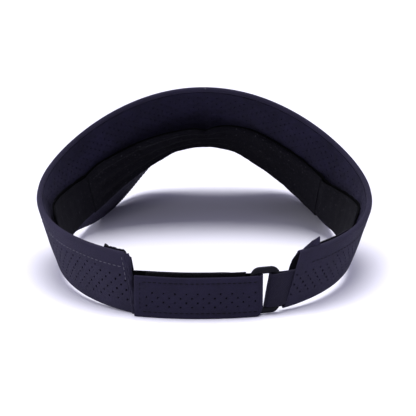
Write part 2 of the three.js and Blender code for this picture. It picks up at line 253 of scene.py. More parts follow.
def punched_sheet(name, surface, us, thickness, material, edge_low, edge_high,
                  first, row=2.3, hole=0.54, punch=None, flip=False):
    """A sheet with staggered punched holes. us are the columns. edge_low(u) and edge_high(u) give the
    rows below and above the punched lattice, and their first rows are where it ends."""
    points, uv, faces = [], [], []

    def add(u, v):
        points.append((u, v))
        return len(points) - 1

    count = len(us)
    first_row = [math.ceil((edge_low(u)[0] + 0.5 * row - first) / row) for u in us]
    last_row = [math.floor((edge_high(u)[0] - 0.5 * row - first) / row) for u in us]
    cell_first = [max(first_row[i], first_row[i + 1]) for i in range(count - 1)]
    cell_last = [min(last_row[i], last_row[i + 1]) for i in range(count - 1)]
    column = []
    for i in range(count):
        near = [k for k in (i - 1, i) if 0 <= k < count - 1]
        a = min(cell_first[k] for k in near)
        b = max(cell_last[k] for k in near)
        column.append({r: add(us[i], first + r * row) for r in range(a, b + 1)})
    bottom = [[add(u, v) for v in edge_low(u)] for u in us]
    top = [[add(u, v) for v in edge_high(u)] for u in us]
    holes = []
    for i in range(count - 1):
        a, b = cell_first[i], cell_last[i]
        for r in range(a, b):
            corners = (column[i][r], column[i + 1][r], column[i + 1][r + 1], column[i][r + 1])
            centre = ((us[i] + us[i + 1]) / 2, first + (r + 0.5) * row)
            if (i + r) % 2 == 0 and (punch is None or punch(*centre)):
                holes.append((corners, centre))
            else:
                faces.append(corners)
        left_low = [column[i][r] for r in range(a, min(column[i]) - 1, -1)]
        right_low = [column[i + 1][r] for r in range(a, min(column[i + 1]) - 1, -1)]
        faces.append(tuple(left_low + [bottom[i][0], bottom[i + 1][0]] + right_low[::-1]))
        left_high = [column[i][r] for r in range(b, max(column[i]) + 1)]
        right_high = [column[i + 1][r] for r in range(b, max(column[i + 1]) + 1)]
        faces.append(tuple(right_high + [top[i + 1][0], top[i][0]] + left_high[::-1]))
        for side, strip in ((-1, bottom), (1, top)):
            for k in range(len(strip[i]) - 1):
                f = (strip[i][k], strip[i + 1][k], strip[i + 1][k + 1], strip[i][k + 1])
                faces.append(f if side > 0 else f[::-1])
    params = np.array(points)
    flat = surface(params[:, 0], params[:, 1])
    centres = np.array([c for _, c in holes])
    cu, cv = centres.T
    middle = surface(cu, cv)
    e1 = unit(surface(cu + HOLE_STEP, cv) - surface(cu - HOLE_STEP, cv))
    e2 = surface(cu, cv + HOLE_STEP) - surface(cu, cv - HOLE_STEP)
    e2 = unit(e2 - e1 * np.sum(e1 * e2, -1, keepdims=True))
    size = hole * rng.uniform(0.85, 1.12, len(holes))[:, None]
    ring_points, ring_uv = [], []
    for k in range(8):
        angle = math.radians(225 + 45 * k)
        ring_points.append(middle + size * (e1 * math.cos(angle) + e2 * math.sin(angle)))
        ring_uv.append(centres + hole * np.array([math.cos(angle), math.sin(angle)]))
    base = len(flat)
    flat = np.concatenate([flat, np.stack(ring_points, 1).reshape(-1, 3)])
    params = np.concatenate([params, np.stack(ring_uv, 1).reshape(-1, 2)])
    for n, (corners, _) in enumerate(holes):
        r = [base + 8 * n + k for k in range(8)]
        for k in range(4):
            faces.append((corners[k], corners[(k + 1) % 4], r[(2 * k + 2) % 8], r[2 * k + 1], r[2 * k]))
    if flip:
        faces = [f[::-1] for f in faces]
    return make_object(name, *thicken(flat, faces, params, thickness), material)


def stitch_row(name, path, out, material, pitch=2.6, length=1.7, radius=0.2, lift=0.33, skip=0.0,
               body="crown"):
    """Thread stitches along a line of points, with the outward direction at each point."""
    sides, steps, jitter, slope = 6, 6, 0.12, 0.12
    out = unit(out)
    s = run_along(path)
    arch = np.sin(np.linspace(slope, math.pi - slope, steps))[:, None]
    points, faces = [], []
    at = pitch / 2
    while at + length < s[-1]:
        if random.random() >= skip:
            start = at + random.uniform(-jitter, jitter)
            span = length * random.uniform(0.9, 1.08)
            where = start + span * np.linspace(0, 1, steps)
            line = np.stack([np.interp(where, s, path[:, k]) for k in range(3)], -1)
            normal = unit(np.stack([np.interp(where, s, out[:, k]) for k in range(3)], -1))
            line = line + normal * (lift + 1.3 * radius * (arch - 0.75))
            tangent = unit(np.gradient(line, axis=0))
            side = unit(np.cross(tangent, normal))
            up = np.cross(side, tangent)
            faces += rod_faces(steps, sides, len(points))
            for k in range(steps):
                r = radius * (0.55 if k in (0, steps - 1) else 1)
                for m in range(sides):
                    a = 2 * math.pi * m / sides
                    points.append(line[k] + r * (side[k] * math.cos(a) + up[k] * math.sin(a)))
        at += pitch
    obj = make_object(name, points, faces, np.array(points)[:, :2], material, sharp=80)
    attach(obj, body)


def declare_sheet(obj, node, body):
    """Hides the CAD node a sheet stands for, and hangs the sheet on the body it rides on."""
    if node:
        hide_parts(node)
    if body:
        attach(obj, body)


# ---- Materials ----


class Nodes:
    """A small helper that adds and joins shader nodes."""

    def __init__(self, name):
        self.material = bpy.data.materials.new(name)
        self.material.use_nodes = True
        self.tree = self.material.node_tree
        self.shader = self.tree.nodes["Principled BSDF"]

    def shade(self, **values):
        for key, value in values.items():
            self.shader.inputs[key.replace("_", " ")].default_value = value

    def add(self, kind, **values):
        node = self.tree.nodes.new(kind)
        for key, value in values.items():
            if hasattr(node, key):
                setattr(node, key, value)
            else:
                node.inputs[key.replace("_", " ")].default_value = value
        return node

    def link(self, a, b):
        self.tree.links.new(a, b)
        return b

    def math(self, operation, a, b=0.0):
        node = self.add("ShaderNodeMath", operation=operation)
        for socket, value in zip(node.inputs, (a, b)):
            if isinstance(value, bpy.types.NodeSocket):
                self.link(value, socket)
            else:
                socket.default_value = value
        return node.outputs[0]

    def ramp(self, value, stops):
        node = self.add("ShaderNodeValToRGB")
        self.link(value, node.inputs[0])
        while len(node.color_ramp.elements) < len(stops):
            node.color_ramp.elements.new(0.5)
        for element, (place, colour) in zip(node.color_ramp.elements, stops):
            element.position = place
            element.color = (*colour, 1)
        return node.outputs[0]

    def noise(self, vector, scale, detail=3.0, rough=0.5):
        node = self.add("ShaderNodeTexNoise", Scale=scale, Detail=detail, Roughness=rough)
        self.link(vector, node.inputs["Vector"])
        return node.outputs["Fac"]

    def bumped(self, height_value, distance, strength=1.0, normal=None):
        node = self.add("ShaderNodeBump", Distance=distance, Strength=strength)
        self.link(height_value, node.inputs["Height"])
        if normal is not None:
            self.link(normal, node.inputs["Normal"])
        return node.outputs[0]


def grey(value):
    return (value, value, value)


def cloth(name, colour, pitch=0.42, weave=0.06, fuzz=0.04, sheen=0.05, roughness=0.9, blotch=0.25, lint=0.0,
          knit=False, sheen_tint=(0.6, 0.56, 0.85), specular=0.12):
    """Woven or knitted cloth: thread relief from the cloth's own lengths, blotches, fuzz and lint."""
    n = Nodes(name)
    uv = n.add("ShaderNodeUVMap", uv_map="cloth").outputs[0]
    place = n.add("ShaderNodeTexCoord").outputs["Object"]
    split = n.add("ShaderNodeSeparateXYZ")
    n.link(uv, split.inputs[0])
    turn = 2 * math.pi / (pitch * MM)
    across, along = split.outputs[0], split.outputs[1]
    if knit:
        zigzag = n.math("MULTIPLY", n.math("SINE", n.math("MULTIPLY", along, turn)), 0.35 * pitch * MM)
        rib = n.math("SINE", n.math("MULTIPLY", n.math("ADD", across, zigzag), turn * 0.7))
        course = n.math("SINE", n.math("MULTIPLY", along, turn))
        relief = n.math("ADD", rib, n.math("MULTIPLY", course, 0.5))
    else:
        warp = n.math("SINE", n.math("MULTIPLY", across, turn))
        weft = n.math("SINE", n.math("MULTIPLY", along, turn))
        relief = n.math("MULTIPLY", warp, weft)
    fine = n.noise(place, 2600.0, 2.0)
    large = n.noise(place, 38.0, 4.0, 0.6)
    middle = n.noise(place, 240.0, 3.0, 0.6)
    tone = n.math("ADD", n.math("MULTIPLY", large, 0.55), n.math("MULTIPLY", middle, 0.45))
    dark = tuple(c * (1 - blotch) for c in colour)
    light = tuple(c * (1 + blotch) for c in colour)
    base = n.ramp(tone, [(0.32, dark), (0.5, colour), (0.68, light)])
    mix = n.add("ShaderNodeMix", data_type="RGBA", blend_type="MULTIPLY")
    mix.inputs["Factor"].default_value = 0.5
    n.link(base, mix.inputs[6])
    n.link(n.ramp(relief, [(0.0, grey(0.72)), (0.75, grey(1.12))]), mix.inputs[7])
    result = mix.outputs[2]
    if lint:
        specks = n.noise(place, 1300.0, 0.0)
        spot = n.ramp(specks, [(0.73, grey(0)), (0.8, grey(1))])
        over = n.add("ShaderNodeMix", data_type="RGBA")
        n.link(n.math("MULTIPLY", spot, lint), over.inputs["Factor"])
        n.link(result, over.inputs[6])
        over.inputs[7].default_value = (0.10, 0.095, 0.11, 1)
        result = over.outputs[2]
    n.link(result, n.shader.inputs["Base Color"])
    normal = n.bumped(relief, weave * MM)
    normal = n.bumped(fine, fuzz * MM, normal=normal)
    normal = n.bumped(large, 0.25 * MM, 0.5, normal=normal)
    n.link(normal, n.shader.inputs["Normal"])
    rough = n.ramp(middle, [(0.3, grey(roughness - 0.08)), (0.7, grey(min(roughness + 0.06, 1)))])
    n.link(rough, n.shader.inputs["Roughness"])
    n.shade(Sheen_Weight=sheen, Sheen_Roughness=0.5, Sheen_Tint=(*sheen_tint, 1), Specular_IOR_Level=specular)
    return n.material


def plastic(name, colour, roughness, grain=0.03, scale=900.0):
    n = Nodes(name)
    place = n.add("ShaderNodeTexCoord").outputs["Object"]
    fine = n.noise(place, scale, 3.0)
    wear = n.noise(place, 120.0, 4.0, 0.6)
    dark = tuple(c * 0.8 for c in colour)
    light = tuple(c * 1.4 + 0.001 for c in colour)
    n.link(n.ramp(wear, [(0.35, dark), (0.7, light)]), n.shader.inputs["Base Color"])
    rough = n.ramp(wear, [(0.3, grey(roughness - 0.06)), (0.75, grey(roughness + 0.12))])
    n.link(rough, n.shader.inputs["Roughness"])
    n.link(n.bumped(fine, grain * MM), n.shader.inputs["Normal"])
    n.shade(Specular_IOR_Level=0.13)
    return n.material


NAVY = (0.0190, 0.0166, 0.0345)
OUTER_CLOTH = cloth("outer_cloth", NAVY)
PLAIN_CLOTH = cloth("plain_cloth", NAVY)
STRAP_CLOTH = cloth("strap_cloth", (0.0140, 0.0120, 0.0285))
LINING_CLOTH = cloth("lining_cloth", (0.0086, 0.0072, 0.0215), blotch=0.5)
FACING_CLOTH = cloth("facing_cloth", (0.0035, 0.0032, 0.0052), fuzz=0.08)
SWEAT_CLOTH = cloth("sweat_cloth", (0.0050, 0.0047, 0.0074), pitch=0.8, weave=0.12, fuzz=0.14, sheen=0.02,
                    specular=0.05, lint=0.3, knit=True, sheen_tint=(0.55, 0.55, 0.6))
WEB_CLOTH = cloth("web_cloth", (0.0120, 0.0105, 0.0220), pitch=0.9, weave=0.16, fuzz=0.08)
# Near-black cloth, also used for the painted shadow strip along the sweatband's upper edge.
BLACK_CLOTH_AND_SHADE = cloth("black_cloth_and_shade", (0.0012, 0.0012, 0.0018), pitch=0.6, sheen=0.0, specular=0.04)
PILE = cloth("pile", (0.0025, 0.0025, 0.0032), pitch=0.7, weave=0.2, fuzz=0.3, sheen=0.03)
HOOKS = plastic("hooks", (0.008, 0.008, 0.009), 0.45)
RING_PLASTIC = plastic("ring_plastic", (0.0025, 0.0025, 0.005), 0.55)
BOARD_PLASTIC = plastic("board_plastic", (0.014, 0.014, 0.016), 0.5, grain=0.06, scale=500.0)
FOAM = cloth("foam", (0.05, 0.05, 0.055), pitch=1.1, weave=0.2, fuzz=0.3, sheen=0.1)
# Painted shade: the stiffener behind the punched crown is coloured near black so that its holes read dark.
BUCKRAM_HOLE_SHADE = cloth("buckram", (0.008, 0.008, 0.010), pitch=1.4, weave=0.25, sheen=0.0)
# Painted highlight: a lighter thread, used only where the crown's topstitching runs along the lit left side.
LIT_SIDE_THREAD = cloth("thread", (0.10, 0.096, 0.125), pitch=0.25, weave=0.05, sheen=0.1)
DIM_THREAD = cloth("dim_thread", (0.045, 0.043, 0.052), pitch=0.25, weave=0.05, sheen=0.05)
DARK_THREAD = cloth("dark_thread", (0.004, 0.0037, 0.006), pitch=0.25, weave=0.05, sheen=0.02)

for node, finish in (("brim_board", BOARD_PLASTIC), ("crown_stiffener", BUCKRAM_HOLE_SHADE)):
    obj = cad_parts[node]
    obj.data.materials.clear()
    obj.data.materials.append(finish)

# ---- The crown ----

COLUMN = 2.55  # width of a cell of the punched pattern, half the pitch of its holes
RIM = 1.1  # radius of the fold along the upper edge
RIM_HEM = 0.5  # how far the fold comes down inside
ROW_START = 0.6  # height of the punched pattern's lattice above the band's lower edge
TOPSTITCH = 6.6  # topstitching, down from the upper edge
PLAIN_TOP = 6.4  # the punched pattern ends here, down from the upper edge
LINING_GAP = 0.3  # degrees that the lining keeps clear of the tab facing


def brim_top(angle):
    """How far up the band the outer cloth starts, above the brim's root."""
    angle = np.asarray(angle, float)
    start = 3.9 / np.maximum(upper_height(angle) - lower_height(angle), 1)
    return start * height(angle) * (1 - smooth(np.abs(angle), 62, 74))


def foot_radius(angle):
    return 0.12 + (RIM - 0.12) * smooth(np.abs(np.asarray(angle, float)), 72, 77)


def end_shift(angle, rise):
    """The tab ends aren't quite square: their upper corners are shorter."""
    right = 2.5 * rise * smooth(angle, 132, 152)
    left = 0.5 * bump(rise, 0.6, 0.35) * smooth(-angle, 140, 155)
    return angle - right - left


def outer_surface(u, s):
    """u is the length around the band and s the length up the cloth, over the rim and down inside."""
    angle = angle_at(u)
    tall = height(angle)
    foot = foot_radius(angle)
    start = brim_top(angle)
    flat = tall - RIM
    turn = np.clip((s - flat) / RIM, 0, math.pi)
    down = np.maximum(s - flat - math.pi * RIM, 0)
    under = np.clip(-(s - start - foot) / foot, 0, math.pi)
    back = np.maximum(-(s - start - foot) - math.pi * foot, 0)
    h = np.where(s > flat, flat + RIM * np.sin(turn) - down, np.maximum(s, start + foot))
    h = np.where(s < start + foot, start + foot - foot * np.sin(under) + back, h)
    out = np.where(s > flat, RIM * np.cos(turn), OUTER)
    out = np.where(s < start + foot, OUTER - foot + foot * np.cos(under), out)
    rise = np.clip(h / tall, 0, 1.1)
    puff = 0.22 * waves(u, h, 3, 34) + 0.1 * waves(u, h, 4, 13)
    groove = -0.35 * bump(angle, 0, 0.5)
    wide = np.clip(np.sin(np.clip(rise, 0, 1) * math.pi), 0, 1)
    hem = -0.12 * bump(h, tall - TOPSTITCH, 0.7) * (np.abs(angle) > 20)
    face = (s < flat) & (s > start + foot)
    out = out + np.where(face, (puff + 0.25) * wide + hem + groove * wide, 0)
    return band(end_shift(angle, rise), h / tall, out)


def columns(start, end):
    """Column places between two lengths, on the punched pattern's lattice."""
    low, high = min(start, end), max(start, end)
    inner = np.arange(math.ceil((low + 0.8) / COLUMN), math.floor((high - 0.8) / COLUMN) + 1) * COLUMN
    return [low, *inner, high]


def tall_at(u):
    return float(height(angle_at(u)))


def foot_at(u, share=0.0):
    angle = angle_at(u)
    foot = float(foot_radius(angle))
    return float(brim_top(angle)) + foot - math.pi * foot * share


def outer_low(u):
    """Rows under the punched lattice, the last ones round the fold at the cloth's foot."""
    return [foot_at(u) + 1.5, foot_at(u) + 0.5, *(foot_at(u, k / 5) for k in range(6))]


def outer_high(u):
    """Rows above the punched lattice, over the rim and down inside."""
    tall = tall_at(u)
    over = [tall - RIM + math.pi * RIM * k / 8 for k in range(9)]
    down = [tall - RIM + math.pi * RIM + RIM_HEM * share for share in (0.5, 1)]
    return [tall - PLAIN_TOP, tall - 3.6, tall - RIM - 0.6, *over, *down]


for side, sign, end in (("left", -1.0, HEM_START), ("right", 1.0, TAB_END_RIGHT)):
    us = columns(length_at(sign * 0.02), length_at(end))
    outer = punched_sheet(f"crown_outer_cloth_{side}", outer_surface, us, CLOTH, OUTER_CLOTH,
                          outer_low, outer_high, ROW_START, flip=True)
    declare_sheet(outer, f"crown_outer_{side}", "crown")


def lining_surface(u, h):
    """The lining hangs from the rim's hem, with soft creases by the middle seam and the right temple."""
    angle = angle_at(u)
    tall = height(angle)
    rise = np.clip(h / tall, 0, 1)
    free = np.clip(np.sin(rise * math.pi), 0, 1)
    folds = 1.0 * bump(angle, -4.4, 1.2) + 1.2 * bump(angle, 2.8, 1.4) + 0.6 * bump(angle, -10, 2.4)
    folds = folds + 1.6 * bump(angle - 9 * (rise - 0.7), 84, 2.2) * smooth(rise, 0.45, 0.9)
    folds = folds + 1.4 * bump(angle + 12 * (rise - 0.7), 94, 2.0) * smooth(rise, 0.4, 0.85)
    folds = folds + 1.2 * bump(angle, 71, 3.0) * smooth(rise, 0.55, 0.9)
    folds = folds + 0.35 * (1 + waves(u, h, 11, 22)) + 0.14 * (1 + waves(u, h, 12, 9))
    pucker = 0.18 * (1 + np.sin(u / 1.7)) * smooth(rise, 0.86, 0.97)
    groove = 0.25 * bump(angle, 0, 0.4) * free
    return band(angle, h / tall, -1.1 - folds * free * 0.8 - pucker + groove)


def lining_high(u):
    top = tall_at(u) - RIM - RIM_HEM
    return top - 1.6, top - 0.35


for side, sign in (("left", -1.0), ("right", 1.0)):
    us = columns(length_at(sign * 0.02), length_at(sign * (TAB_START - LINING_GAP)))
    lining = punched_sheet(f"crown_lining_cloth_{side}", lining_surface, us, CLOTH, LINING_CLOTH,
                           lambda u: (1.4, 0.9), lining_high, ROW_START, hole=0.44)
    declare_sheet(lining, f"crown_lining_{side}", "crown")


# ---- Tab facings, the left hem and the folded corner ----


FACING_LAP = 0.25  # degrees that a facing starts ahead of the tab


def facing_surface(sign):
    def surface(u, t):
        angle = angle_at(u)
        tall = height(angle)
        limp = 0.3 * (1 + waves(u, t * tall, 21, 12))
        if sign < 0:
            peek = smooth(-angle, 146.3, 147.6) * (1 - smooth(-angle, 154.6, 156))
            extra = 0.018 + 0.01 * np.sin(u * 1.9) * np.sin(u * 0.7) + 0.03 * bump(u, length_at(-148), 0.7)
            curl, tuck = 0, 0
        else:
            peek = smooth(angle, 120, 126) * (1 - smooth(angle, 141, 146))
            extra = -0.004 + 0.014 * smooth(angle, 128, 138)
            curl = 0.6 + 0.45 * bump(t, 0.72, 0.15) - 1.1 * smooth(t, 0.88, 1.0) + 0.9 * bump(t, 0, 0.15)
            curl = smooth(angle, 145, 152) * curl
            tuck = smooth(angle, 145, 152) * (0.2 + 0.9 * bump(t, 0.8, 0.25))
        top = t * (0.93 + peek * (0.07 + extra))
        inward = 1.1 + limp * np.sin(np.clip(top, 0, 1) * math.pi) * 0.6
        inward = inward + peek * 0.8 * smooth(t, 0.7, 0.9) + tuck
        return band(end_shift(angle, top) + curl * 0.62, top, -inward)
    return surface


for side, sign, end in (("left", -1.0, TAB_END_LEFT), ("right", 1.0, TAB_END_RIGHT)):
    low, high = sorted((length_at(sign * (TAB_START - FACING_LAP)), length_at(end)))
    us = np.linspace(low, high, 60)
    facing = grid_sheet(f"tab_facing_cloth_{side}", facing_surface(sign), us, np.linspace(0.01, 1, 27),
                        CLOTH, FACING_CLOTH)
    declare_sheet(facing, f"tab_facing_{side}", "crown")


HEM_TALL, HEM_WIDE = 26.0, 5.2


def left_hem(u, v):
    """The left tab's end hem, a folded strip across the tab with pulls and wrinkles."""
    rise = v / HEM_TALL
    wide = 0.43 + 0.06 * np.sin(rise * 9) + 0.04 * np.sin(rise * 23)
    angle = HEM_START - 0.15 - u * wide / 1.57
    across = u / HEM_WIDE
    arched = np.sin(np.clip(across, 0, 1) * math.pi)
    pulls = 0.28 * np.sin(v * 1.15 + 2.2 * np.sin(v * 0.35)) * arched + 0.22 * waves(u * 3, v, 31, 7)
    edge = np.where(across > 0.99, 0.9, 0.0)
    return band(end_shift(angle, rise), rise, 1.12 + 0.55 * arched**0.6 + pulls - edge)


hem_us = np.array([0, 0.35, 0.8, 1.3, 1.9, 2.5, 3.1, 3.7, 4.3, 4.8, HEM_WIDE, HEM_WIDE + 0.1])
hem_vs = np.linspace(0.2, HEM_TALL + 0.2, 70)
hem = grid_sheet("tab_end_hem_cloth", left_hem, hem_us, hem_vs, CLOTH, PLAIN_CLOTH)
declare_sheet(hem, "tab_end_hem_left", "crown")


def corner_fold(u, v):
    """The right tab's upper corner, folded into a small triangle that stands above the edge."""
    angle = 142.8 + 6.4 * u
    peak = 0.15 * np.clip(1 - np.abs(u - 0.1) / np.where(u < 0.1, 0.1, 0.9), 0, 1) ** 0.9
    top = 0.9 + v * (0.12 + peak)
    return band(angle - 1.2 * v, top, -0.1 - 0.5 * v * np.sin(u * math.pi) - 0.3 * bump(u, 0.45, 0.08) * v)


corner = grid_sheet("tab_corner_fold_cloth", corner_fold, np.linspace(0, 1, 30), np.linspace(0, 1, 14), 0.5,
                    PLAIN_CLOTH, flip=True)
declare_sheet(corner, "tab_corner_fold_right", "crown")

# ---- The brim ----

BRIM_OFFSET = 1.5  # the covers' middles, from the brim's middle surface
EDGE_RADIUS = 0.95
ROOT_LIFT = 1.9  # the brim's root, above the band's lower edge
BRIM_BACK, BRIM_REACH = 30, 124  # where its sides start, and how far it comes forward from there
BRIM_HALF = 71  # half its width
STITCHED_TO = 56  # angle at which the brim's topstitching ends


def brim_sway(y):
    """The brim turns a little to the right as it comes forward."""
    return 3.6 * np.maximum(y - BRIM_BACK, 0) / 65


def brim_root(angle):
    edge = lower(angle)
    edge[..., 0] += brim_sway(edge[..., 1])
    edge[..., 2] += ROOT_LIFT
    return edge


def brim_tip(angle):
    edge = lower(angle)
    x, y0 = edge[..., 0], edge[..., 1]
    share = np.minimum(np.abs(x) / BRIM_HALF, 1)
    front = BRIM_BACK + BRIM_REACH * (1 - share**6) ** 1.25
    fall = 0.07 + 0.415 * share**3
    y = np.maximum(front, y0 + 2)
    z = edge[..., 2] + ROOT_LIFT - fall * (y - y0) + 0.025 * (x / BRIM_HALF) * (y - y0)
    z = z - 2.0 * bump(angle, 43, 6) - 0.3 * bump(angle, 44, 4) + 0.35 * bump(np.abs(angle), 56, 5)
    return np.stack([x + brim_sway(y), y, z], -1)


def brim_frame(angle, reach):
    """Point, upward normal and the outline's outward direction."""
    def at(a, r):
        start, tip = brim_root(a), brim_tip(a)
        return start + (tip - start) * r[..., None]

    angle = np.clip(angle, -BRIM_END, BRIM_END)
    point = at(angle, reach)
    along = at(angle + 0.4, reach) - at(angle - 0.4, reach)
    normal = unit(np.cross(along, brim_tip(angle) - brim_root(angle)))
    one = np.ones_like(reach)
    rim = at(angle + 0.4, one) - at(angle - 0.4, one)
    away = unit(np.cross(rim, normal))
    return point, normal, away * np.where(away[..., 1:2] < -0.2, -1, 1)


def brim_surface(sign):
    def surface(angle, s):
        """s runs 0..1 from the root to the edge, and on to 2 round the edge."""
        reach = np.clip(s, -0.02, 1)
        point, normal, away = brim_frame(angle, reach)
        near = smooth(reach, 0.9, 1.0)
        thin = 1 - 0.7 * smooth(np.abs(angle), 62, BRIM_END)
        offset = (BRIM_OFFSET + (EDGE_RADIUS - BRIM_OFFSET) * near) * thin
        turn = np.clip(s - 1, 0, 1) * (math.pi / 2) * 0.97
        point = point + away * (EDGE_RADIUS * (np.sin(turn) - near))[..., None]
        lift = offset * np.cos(turn)
        lift = lift + np.where(s < 1, 0.12 * waves(point[..., 0], point[..., 1], 41, 40), 0) * (1 - near)
        return point + normal * (sign * lift)[..., None]
    return surface


brim_angles = np.concatenate([np.linspace(-BRIM_END, -50, 48), np.linspace(-49.3, 49.3, 84),
                              np.linspace(50, BRIM_END, 48)])
brim_steps = np.concatenate([[-0.012, 0.0], np.linspace(0.03, 0.86, 22), np.linspace(0.88, 1.0, 10),
                             np.linspace(1.15, 2.0, 7)])
for side, sign in (("top", 1.0), ("under", -1.0)):
    cover = grid_sheet(f"brim_{side}_cloth", brim_surface(sign), brim_angles, brim_steps, CLOTH, PLAIN_CLOTH,
                       flip=sign < 0)
    u, v = np.meshgrid(brim_angles, brim_steps, indexing="ij")
    flat = brim_surface(sign)(u, v).reshape(-1, 3)[:, :2]
    set_uv(cover.data, np.concatenate([flat, flat]))
    declare_sheet(cover, f"brim_{side}_cover", "crown")

# Two rows of topstitching follow the brim's edge.
for row, inset in enumerate((5.0, 9.5)):
    angles = np.linspace(-STITCHED_TO, STITCHED_TO, 500)
    length = np.linalg.norm(brim_tip(angles) - brim_root(angles), axis=-1)
    reach = 1 - inset / np.maximum(length, inset + 1)
    keep = reach > 0.3
    for sign, name in ((1.0, "top"), (-1.0, "under")):
        line = brim_surface(sign)(angles, reach)[keep]
        normal = brim_frame(angles, reach)[1][keep] * sign
        stitch_row(f"brim_{name}_stitches_{row + 1}", line, normal, DARK_THREAD, pitch=3.0, length=2.2,
                   lift=0.36)

# ---- The sweatband ----


SWEAT_TALL = 25
PAD_MIDDLE, PAD_HALF = 1.57, 1.28  # the pad's middle depth, and half its thickness
PAD_LOW, PAD_HIGH = 1.3, 23.7  # middles of its bottom and top rolls
COVER_BACK, FOAM_BACK = 19.5, 1.9  # how far down the back the cover and the foam come
TAIL_CORNER = 6  # radius of a tail's round corner


def sweat_lean(angle):
    lean = 0.8 + 7.0 * bump(angle, -12, 24) + 2.6 * bump(angle, 0, 7)
    return lean + 2.2 * bump(angle, 62, 9) + 1.2 * bump(angle, -93, 12)


def sweat_point(angle, h, depth):
    """h is the height up the sweatband in millimetres, and depth the distance in towards the head."""
    foot = band(angle, 0.02, -1.75)
    inward = -outward(angle)
    top = band(angle, (SWEAT_TALL - arch_crown(angle)) / height(angle), -1.75)
    top = top + inward * sweat_lean(angle)[..., None]
    rise = (h / SWEAT_TALL)[..., None]
    return foot + (top - foot) * rise + inward * depth[..., None]


def pad_dip(angle):
    """The pad's height at an angle, as a share of its full height: it dips at the middle seam."""
    seam = 0.025 * bump(angle, -6, 4) - 0.085 * bump(angle, 0.2, 2.3)
    left_end = 0.04 * bump(angle, -49, 5) - 0.03 * bump(angle, -61, 5)
    return 1 + seam + left_end + 0.012 * waves(angle * 1.5, 0, 53, 20)


def tail_corner(angle):
    """How far a tail's round corner lowers its upper edge, and the length left to its end."""
    left = np.radians(TAIL_END - np.abs(angle)) * LOWER_OVAL[0]
    inset = np.clip(TAIL_CORNER - left, 0, TAIL_CORNER)
    return TAIL_CORNER - np.sqrt(TAIL_CORNER**2 - inset**2), left


def pad_profile(offset, back_to):
    """Height and depth around the pad's section: up from the bottom, over the top roll and down behind."""
    r = PAD_HALF - offset
    roll = np.linspace(0, math.pi, 8)
    foot = [(PAD_LOW - r * math.sin(a), PAD_MIDDLE - r * math.cos(a)) for a in roll]
    face = [(h, PAD_MIDDLE + r) for h in np.linspace(PAD_LOW, PAD_HIGH, 26)[1:-1]]
    top = [(PAD_HIGH + r * math.sin(a), PAD_MIDDLE + r * math.cos(a)) for a in roll]
    back = [(h, PAD_MIDDLE - r) for h in np.linspace(PAD_HIGH, back_to, 5)[1:]]
    return np.array(foot + face + top + back)


def pad_surface(profile, end, pinched):
    """The pad's skin over a section: angle runs along it and k counts the section's points. Its ends
    are pinched flatter by that share."""
    def surface(angle, k):
        h, d = (np.interp(k, np.arange(len(profile)), profile[:, n]) for n in (0, 1))
        front = smooth(d, 1.2, 2.4)
        left = smooth(angle, -57, -50) * (1 - smooth(angle, 4, 14))
        right = smooth(angle, 12, 22) * (1 - smooth(angle, 44, 54))
        relief = 0.5 * np.cos((h - 1.2) * 2 * math.pi / 7.6) * left
        relief = relief + 0.16 * np.cos((h - 4) * 2 * math.pi / 10) * right
        relief = relief + 0.3 * np.sin(np.clip(h / SWEAT_TALL, 0, 1) * math.pi) - 0.2
        relief = relief + 0.28 * waves(angle * 1.5, h, 51, 14) + 0.1 * waves(angle * 1.5, h, 52, 5)
        relief = relief - 0.9 * bump(angle, 0, 1.6) * smooth(h, 6, 22)
        relief = relief + 0.35 * bump(angle, 3.2, 1.6) * smooth(h, 8, 20)
        ends = 1 - pinched * smooth(np.abs(angle), end - 9, end)
        depth = PAD_MIDDLE + (d - PAD_MIDDLE) * ends + relief * front * ends
        return sweat_point(angle, h * pad_dip(angle), depth)
    return surface


cover_profile = pad_profile(0.0, COVER_BACK)
cover_surface = pad_surface(cover_profile, PAD_END, 0.42)
pad_angles = np.linspace(-PAD_END, PAD_END, 220)
steps = np.arange(len(cover_profile))
cover = grid_sheet("sweatband_cover_cloth", cover_surface, pad_angles, steps, CLOTH, SWEAT_CLOTH)
uv = uv_grid(length_at(pad_angles), run_along(cover_profile))
set_uv(cover.data, np.concatenate([uv, uv]))
declare_sheet(cover, "sweatband_cover", "crown")

foam_profile = pad_profile(0.45, FOAM_BACK)
angles = np.linspace(-PAD_END + 1, PAD_END - 1, 110)
a, k = np.meshgrid(angles, np.arange(len(foam_profile)), indexing="ij")
foam_points = pad_surface(foam_profile, PAD_END - 1, 0.3)(a, k)
foam = make_object("sweatband_foam_pad", foam_points.reshape(-1, 3), rod_faces(*a.shape),
                   np.stack([length_at(a), k * 1.2], -1).reshape(-1, 2), FOAM, sharp=50)
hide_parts("sweatband_foam")
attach(foam, "crown")


def tail_ring(angle):
    """Points round a tail's section at an angle."""
    corner, left = tail_corner(angle)
    top = 24.6 - corner
    bottom = 0.6 + 0.9 * max(1 - left / 1.5, 0) ** 2
    r = 0.6 * (1 if left > 0.6 else 0.55 + 0.45 * left / 0.6)
    turn = np.linspace(-math.pi / 2, math.pi / 2, 6)
    side = np.linspace(top - r, bottom + r, 16)[1:-1]
    h = np.concatenate([top - r + r * np.cos(turn), side, bottom + r - r * np.cos(turn), side[::-1]])
    d = np.concatenate([r * np.sin(turn), np.full(14, r), -r * np.sin(turn), np.full(14, -r)]) + 0.6
    limp = 0.22 * (waves(abs(angle) * 1.3, h, 61, 11) + 0.5) * smooth(h, 1, 8) * smooth(left, 0, 4)
    limp = limp + 0.75 * (1 - smooth(abs(angle), PAD_END, PAD_END + 7))
    stitched = -0.22 * bump(h, top - 2.4, 0.5) * (d > 0.7)
    return sweat_point(np.full(len(h), angle), h, d + np.maximum(limp, 0) + stitched + 0.15)


